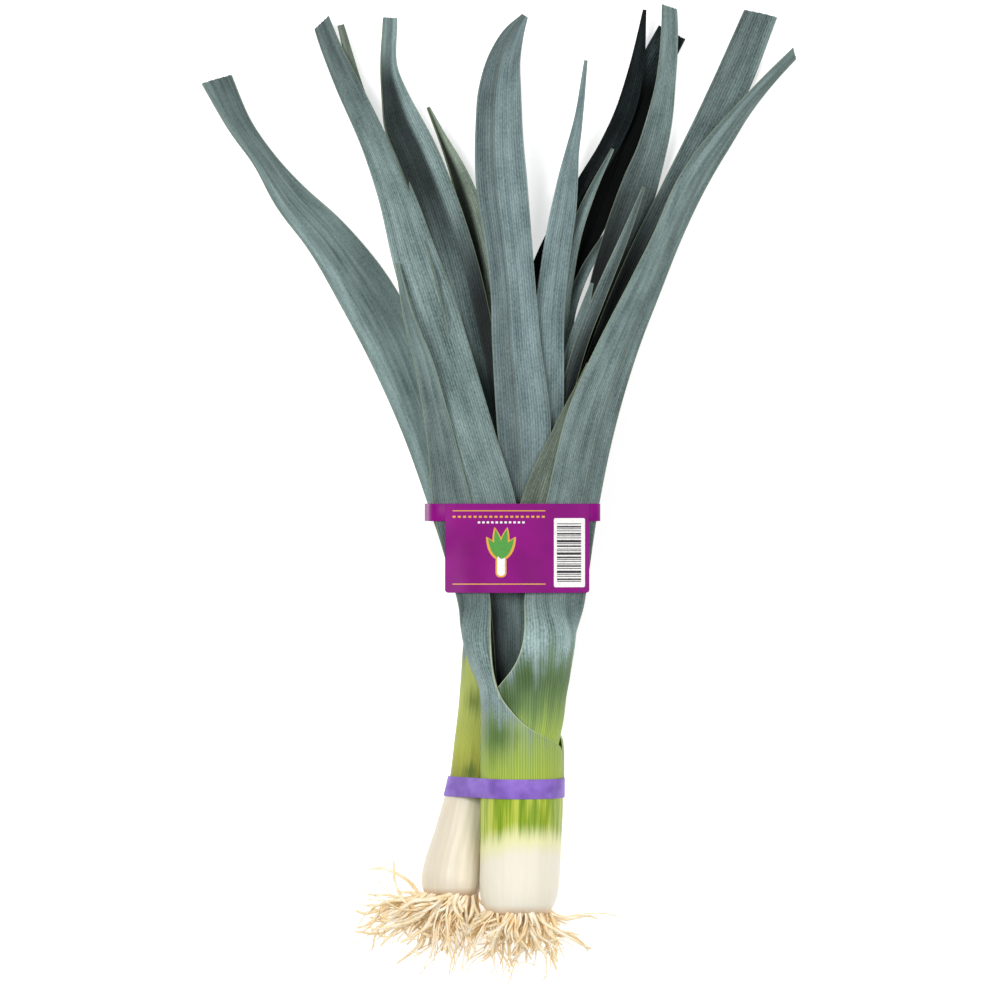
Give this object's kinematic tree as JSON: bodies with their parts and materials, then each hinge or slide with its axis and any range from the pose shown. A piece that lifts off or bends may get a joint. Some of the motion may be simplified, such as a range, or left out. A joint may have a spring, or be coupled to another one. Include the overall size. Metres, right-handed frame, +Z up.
{
  "type": "bunch of leeks",
  "caption": "Tied bunch of leeks lying down: white shanks with root tufts, a fan of long grey-green leaves, a rubber band and a plain tag round the leaves.",
  "frame": {"origin": "on the table under the middle of the bunch's box", "axes": "+Z up from the table, +Y along the bunch from the roots to the leaf tips, +X to the right of a viewer who looks down on it with the leaves away from them"},
  "size_m": [0.3007, 0.4958, 0.0576],
  "materials": {
    "shank_white": "smooth, moist white to cream leek shank, faintly ribbed lengthwise, green towards the leaves",
    "root_cream": "dry cream to straw coloured roots, matt",
    "leaf_green": "grey-green waxy leaf with fine lengthwise veins and a bluish bloom, paler margins",
    "rubber_purple": "smooth flat elastic band, lilac purple, satin",
    "tag_purple": "printed purple film tag with a small plain leaf motif, a white patch and plain bars"
  },
  "bodies": {
    "root": {"front_shank": "shank_white", "back_shank": "shank_white", "front_roots": "root_cream", "back_roots": "root_cream", "back_leaf_dark_wide": "leaf_green", "back_leaf_dark_curled": "leaf_green", "back_leaf_split": "leaf_green", "back_leaf_outer": "leaf_green", "back_leaf_hidden": "leaf_green", "back_leaf_straight": "leaf_green", "back_leaf_sliver": "leaf_green", "back_leaf_gutter": "leaf_green", "back_leaf_thin": "leaf_green", "front_leaf_folded": "leaf_green", "front_leaf_spike": "leaf_green", "front_leaf_narrow": "leaf_green", "front_leaf_blade": "leaf_green", "front_leaf_centre": "leaf_green", "front_leaf_short": "leaf_green", "front_leaf_broad": "leaf_green", "front_leaf_right": "leaf_green", "front_leaf_left": "leaf_green", "rubber_band": "rubber_purple", "label_band": "tag_purple"}
  },
  "joints": []
}
